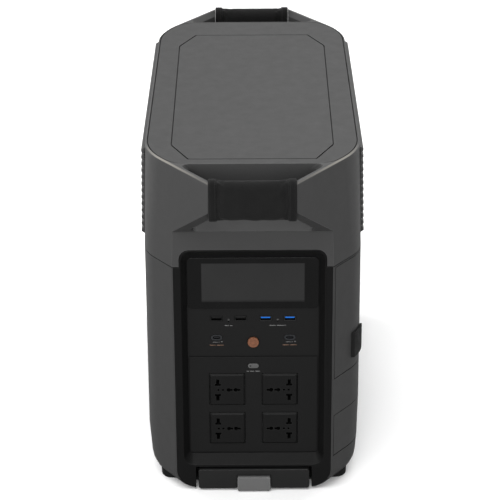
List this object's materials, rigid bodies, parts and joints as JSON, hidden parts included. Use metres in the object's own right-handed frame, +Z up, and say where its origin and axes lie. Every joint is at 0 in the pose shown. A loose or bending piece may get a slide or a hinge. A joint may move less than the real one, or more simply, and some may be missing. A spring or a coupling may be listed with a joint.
{
  "type": "wheeled portable power station",
  "caption": "Portable power station with chamfered corners, fabric grip handles at both ends, a front outlet panel, a pull-out trolley and rear wheels.",
  "frame": {"origin": "middle of the footprint on the floor", "axes": "+Z up, the outlet panel faces -Y, +X to the right as the panel is faced"},
  "size_m": [0.285, 0.635, 0.4379],
  "materials": {
    "cap_plastic": "matte, fine grain",
    "lid_plastic": "matte, fine grain",
    "body_plastic": "matte, fine grain",
    "black_plastic": "satin",
    "display_glass": "smoked, glossy",
    "display": "dark liquid-crystal cell",
    "fabric": "woven wrap",
    "rubber": "matte",
    "tyre": "matte",
    "grey_plastic": "satin",
    "copper_metal": "satin copper colour",
    "steel": "brushed",
    "aluminium": "anodised",
    "board": "solder mask",
    "blue_plastic": "satin"
  },
  "bodies": {
    "housing": {"top_cap": "cap_plastic", "louvre_left": "cap_plastic", "louvre_right": "cap_plastic", "lid_panel": "lid_plastic", "lid_inlay": "lid_plastic", "lower_shell": "body_plastic", "base_tray": "body_plastic", "side_lower_cover": "body_plastic", "front_frame": "black_plastic", "rear_frame": "black_plastic", "front_panel": "black_plastic", "rear_panel": "black_plastic", "ac_outlet_plate": "black_plastic", "ac_outlet_1": "black_plastic", "ac_outlet_2": "black_plastic", "ac_outlet_3": "black_plastic", "ac_outlet_4": "black_plastic", "usb_a_port_1": "black_plastic", "usb_a_port_2": "black_plastic", "usb_c_port_1": "black_plastic", "usb_c_port_2": "black_plastic", "ac_inlet": "black_plastic", "solar_inlet": "black_plastic", "side_port_panel": "black_plastic", "front_grip_core": "black_plastic", "rear_grip_core": "black_plastic", "fan_frame_left": "black_plastic", "fan_frame_right": "black_plastic", "display_glass": "display_glass", "display_module": "display", "front_grip_wrap": "fabric", "rear_grip_wrap": "fabric", "foot_left": "rubber", "foot_right": "rubber", "side_door_hinge": "rubber", "axle": "steel", "rail_guide_left": "steel", "rail_guide_right": "steel", "inverter_module": "aluminium", "battery_pack": "aluminium", "control_board": "board", "usb_a_port_3": "blue_plastic", "usb_a_port_4": "blue_plastic"},
    "trolley": {"trolley_grip": "black_plastic", "trolley_rail_left": "aluminium", "trolley_rail_right": "aluminium"},
    "lever": {"release_lever": "grey_plastic"},
    "power_key": {"power_button": "copper_metal"},
    "ac_key": {"ac_button": "grey_plastic"},
    "left_wheel": {"wheel_hub_left": "black_plastic", "wheel_tyre_left": "tyre"},
    "right_wheel": {"wheel_hub_right": "black_plastic", "wheel_tyre_right": "tyre"},
    "left_fan": {"fan_rotor_left": "black_plastic"},
    "right_fan": {"fan_rotor_right": "black_plastic"},
    "door": {"side_door": "body_plastic", "side_door_latch": "rubber"},
    "flap": {"rear_flap": "body_plastic"},
    "charge_selector": {"charge_switch": "grey_plastic"},
    "reset_key": {"reset_button": "grey_plastic"}
  },
  "joints": [
    {"name": "trolley_pull", "type": "slide", "parent": "housing", "child": "trolley", "axis": [0, -1, 0], "range_m": [0, 0.33]},
    {"name": "release_press", "type": "slide", "parent": "trolley", "child": "lever", "axis": [0, 1, 0], "range_m": [0, 0.004]},
    {"name": "power_press", "type": "slide", "parent": "housing", "child": "power_key", "axis": [0, 1, 0], "range_m": [0, 0.0012]},
    {"name": "ac_press", "type": "slide", "parent": "housing", "child": "ac_key", "axis": [0, 1, 0], "range_m": [0, 0.0012]},
    {"name": "left_wheel_spin", "type": "hinge", "parent": "housing", "child": "left_wheel", "pos_m": [-0.13025, 0.205, 0.05], "axis": [1, 0, 0], "continuous": true},
    {"name": "right_wheel_spin", "type": "hinge", "parent": "housing", "child": "right_wheel", "pos_m": [0.13025, 0.205, 0.05], "axis": [1, 0, 0], "continuous": true},
    {"name": "left_fan_spin", "type": "hinge", "parent": "housing", "child": "left_fan", "pos_m": [-0.109, 0.08, 0.369], "axis": [1, 0, 0], "continuous": true},
    {"name": "right_fan_spin", "type": "hinge", "parent": "housing", "child": "right_fan", "pos_m": [0.109, 0.08, 0.369], "axis": [1, 0, 0], "continuous": true},
    {"name": "door_swing", "type": "hinge", "parent": "housing", "child": "door", "pos_m": [0.1303, -0.1218, 0.192], "axis": [0, 0, 1], "range_deg": [0, 110]},
    {"name": "flap_lift", "type": "hinge", "parent": "housing", "child": "flap", "pos_m": [0, 0.2514, 0.1735], "axis": [1, 0, 0], "range_deg": [0, 120]},
    {"name": "charge_select", "type": "slide", "parent": "housing", "child": "charge_selector", "axis": [1, 0, 0], "range_m": [-0.003, 0.003]},
    {"name": "reset_press", "type": "slide", "parent": "housing", "child": "reset_key", "axis": [0, -1, 0], "range_m": [0, 0.0015]}
  ]
}
